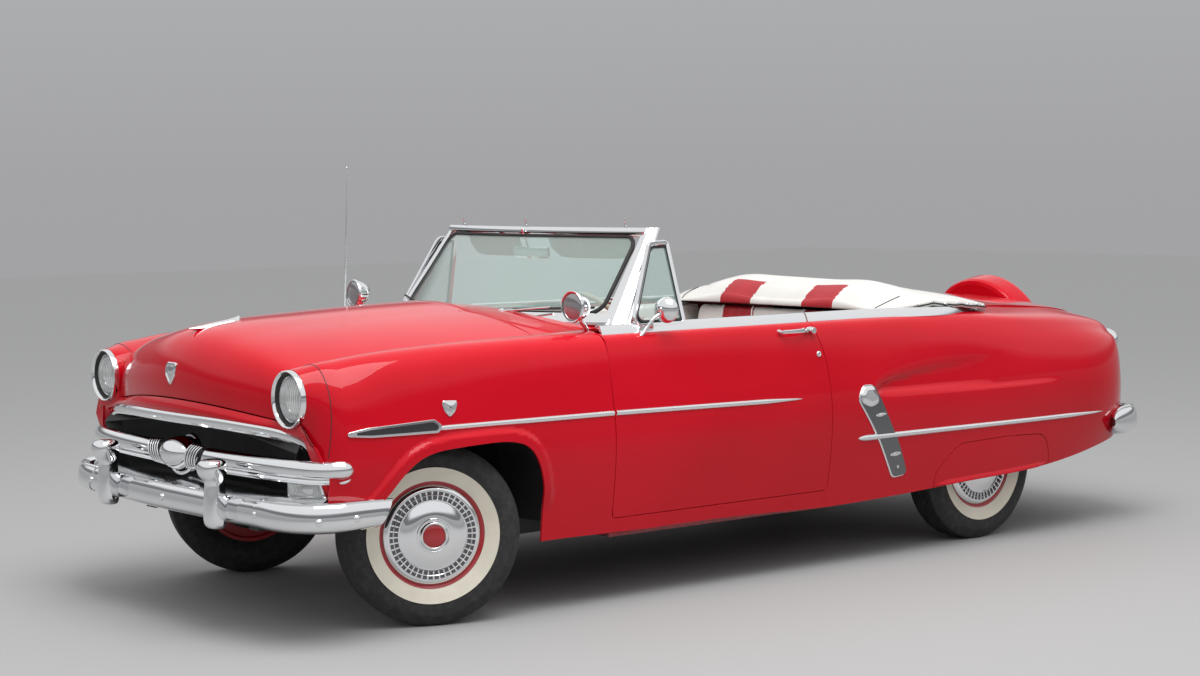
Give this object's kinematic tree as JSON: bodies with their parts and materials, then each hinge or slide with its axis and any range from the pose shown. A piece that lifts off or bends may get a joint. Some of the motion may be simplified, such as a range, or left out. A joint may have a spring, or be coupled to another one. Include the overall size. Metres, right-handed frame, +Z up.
{
  "type": "convertible car",
  "caption": "Full-size open car of the early 1950s with hinged doors, hood and trunk lid, steered front wheels, bright bumpers, whitewall tyres and a folded top under its boot.",
  "frame": {"origin": "on the ground under the middle of the overall box", "axes": "+X forward, +Y to the car's left, +Z up"},
  "size_m": [5.024, 1.887, 1.7002],
  "materials": {
    "body_paint": "gloss bright red enamel",
    "bright_metal": "polished plating",
    "stainless": "bright stainless trim",
    "clear_glass": "slightly green clear glass",
    "lamp_lens": "fluted clear lens in a bright ring",
    "tail_lens": "red lens in a bright ring",
    "seat_trim": "white and red pleated trim",
    "boot_vinyl": "white coated cloth",
    "dash_paint": "satin red paint",
    "wheel_plastic": "moulded rim with a bright ring",
    "floor_carpet": "dark red loop carpet over sheet steel",
    "chassis_black": "satin black paint",
    "engine_paint": "painted castings",
    "tyre_rubber": "black rubber with a cream sidewall band",
    "wheel_paint": "red rim with a bright cover",
    "pipe_steel": "dull pressed steel"
  },
  "bodies": {
    "root": {"front_fenders": "body_paint", "nose_panel": "body_paint", "cowl": "body_paint", "windshield_frame": "stainless", "windshield_glass": "clear_glass", "quarter_panels": "body_paint", "fender_skirts": "body_paint", "rear_panel": "body_paint", "floor_pan": "floor_carpet", "chassis_frame": "chassis_black", "radiator": "chassis_black", "engine": "engine_paint", "front_suspension": "chassis_black", "rear_axle": "chassis_black", "leaf_springs": "chassis_black", "driveshaft": "chassis_black", "exhaust": "pipe_steel", "fuel_tank": "chassis_black", "front_bumper": "bright_metal", "rear_bumper": "bright_metal", "grille": "bright_metal", "headlamps": "lamp_lens", "tail_lamps": "tail_lens", "spot_lamps": "bright_metal", "antenna": "bright_metal", "dashboard": "dash_paint", "steering_column": "dash_paint", "front_seat": "seat_trim", "rear_seat": "seat_trim", "top_boot": "boot_vinyl"},
    "hood": {"hood": "body_paint", "hood_ornament": "bright_metal"},
    "trunk_lid": {"trunk_lid": "body_paint", "spare_cover": "body_paint"},
    "door_left": {"door_left": "body_paint", "vent_glass_left": "clear_glass", "door_mirror": "bright_metal"},
    "door_right": {"door_right": "body_paint", "vent_glass_right": "clear_glass"},
    "knuckle_left": {"knuckle_left": "chassis_black"},
    "knuckle_right": {"knuckle_right": "chassis_black"},
    "wheel_front_left": {"wheel_front_left": "wheel_paint", "tyre_front_left": "tyre_rubber"},
    "wheel_front_right": {"wheel_front_right": "wheel_paint", "tyre_front_right": "tyre_rubber"},
    "wheel_rear_left": {"wheel_rear_left": "wheel_paint", "tyre_rear_left": "tyre_rubber"},
    "wheel_rear_right": {"wheel_rear_right": "wheel_paint", "tyre_rear_right": "tyre_rubber"},
    "steering_wheel": {"steering_wheel": "wheel_plastic"}
  },
  "joints": [
    {"name": "steer_left", "type": "hinge", "parent": "root", "child": "knuckle_left", "pos_m": [1.7, 0.6185, 0.337], "axis": [0, 0, 1], "range_deg": [-12, 52]},
    {"name": "steer_right", "type": "hinge", "parent": "root", "child": "knuckle_right", "pos_m": [1.7, -0.6185, 0.337], "axis": [0, 0, 1], "range_deg": [-12, 52]},
    {"name": "steering_wheel_turn", "type": "hinge", "parent": "root", "child": "steering_wheel", "pos_m": [0.63, 0.38, 0.985], "axis": [-0.866, 0, 0.5], "range_deg": [-300, 1300]},
    {"name": "wheel_front_left_spin", "type": "hinge", "parent": "knuckle_left", "child": "wheel_front_left", "pos_m": [1.74036, 0.72938, 0.337], "axis": [0.342, 0.9397, 0], "continuous": true},
    {"name": "wheel_front_right_spin", "type": "hinge", "parent": "knuckle_right", "child": "wheel_front_right", "pos_m": [1.65964, -0.72938, 0.337], "axis": [0.342, 0.9397, 0], "continuous": true},
    {"name": "wheel_rear_left_spin", "type": "hinge", "parent": "root", "child": "wheel_rear_left", "pos_m": [-1.221, 0.711, 0.337], "axis": [0, 1, 0], "continuous": true},
    {"name": "wheel_rear_right_spin", "type": "hinge", "parent": "root", "child": "wheel_rear_right", "pos_m": [-1.221, -0.711, 0.337], "axis": [0, 1, 0], "continuous": true},
    {"name": "door_left_hinge", "type": "hinge", "parent": "root", "child": "door_left", "pos_m": [0.98, 0.9175, 0.68], "axis": [0, 0, 1], "range_deg": [-62, 0]},
    {"name": "door_right_hinge", "type": "hinge", "parent": "root", "child": "door_right", "pos_m": [0.98, -0.9175, 0.68], "axis": [0, 0, 1], "range_deg": [0, 62]},
    {"name": "hood_hinge", "type": "hinge", "parent": "root", "child": "hood", "pos_m": [1.228, 0, 1.137], "axis": [0, 1, 0], "range_deg": [-48, 0]},
    {"name": "trunk_lid_hinge", "type": "hinge", "parent": "root", "child": "trunk_lid", "pos_m": [-1.341, 0, 1.066], "axis": [0, 1, 0], "range_deg": [0, 52]}
  ],
  "couplings": [
    {"joint": "steer_right", "follows": "steer_left", "ratio": 1},
    {"joint": "steering_wheel_turn", "follows": "steer_left", "ratio": 25}
  ]
}
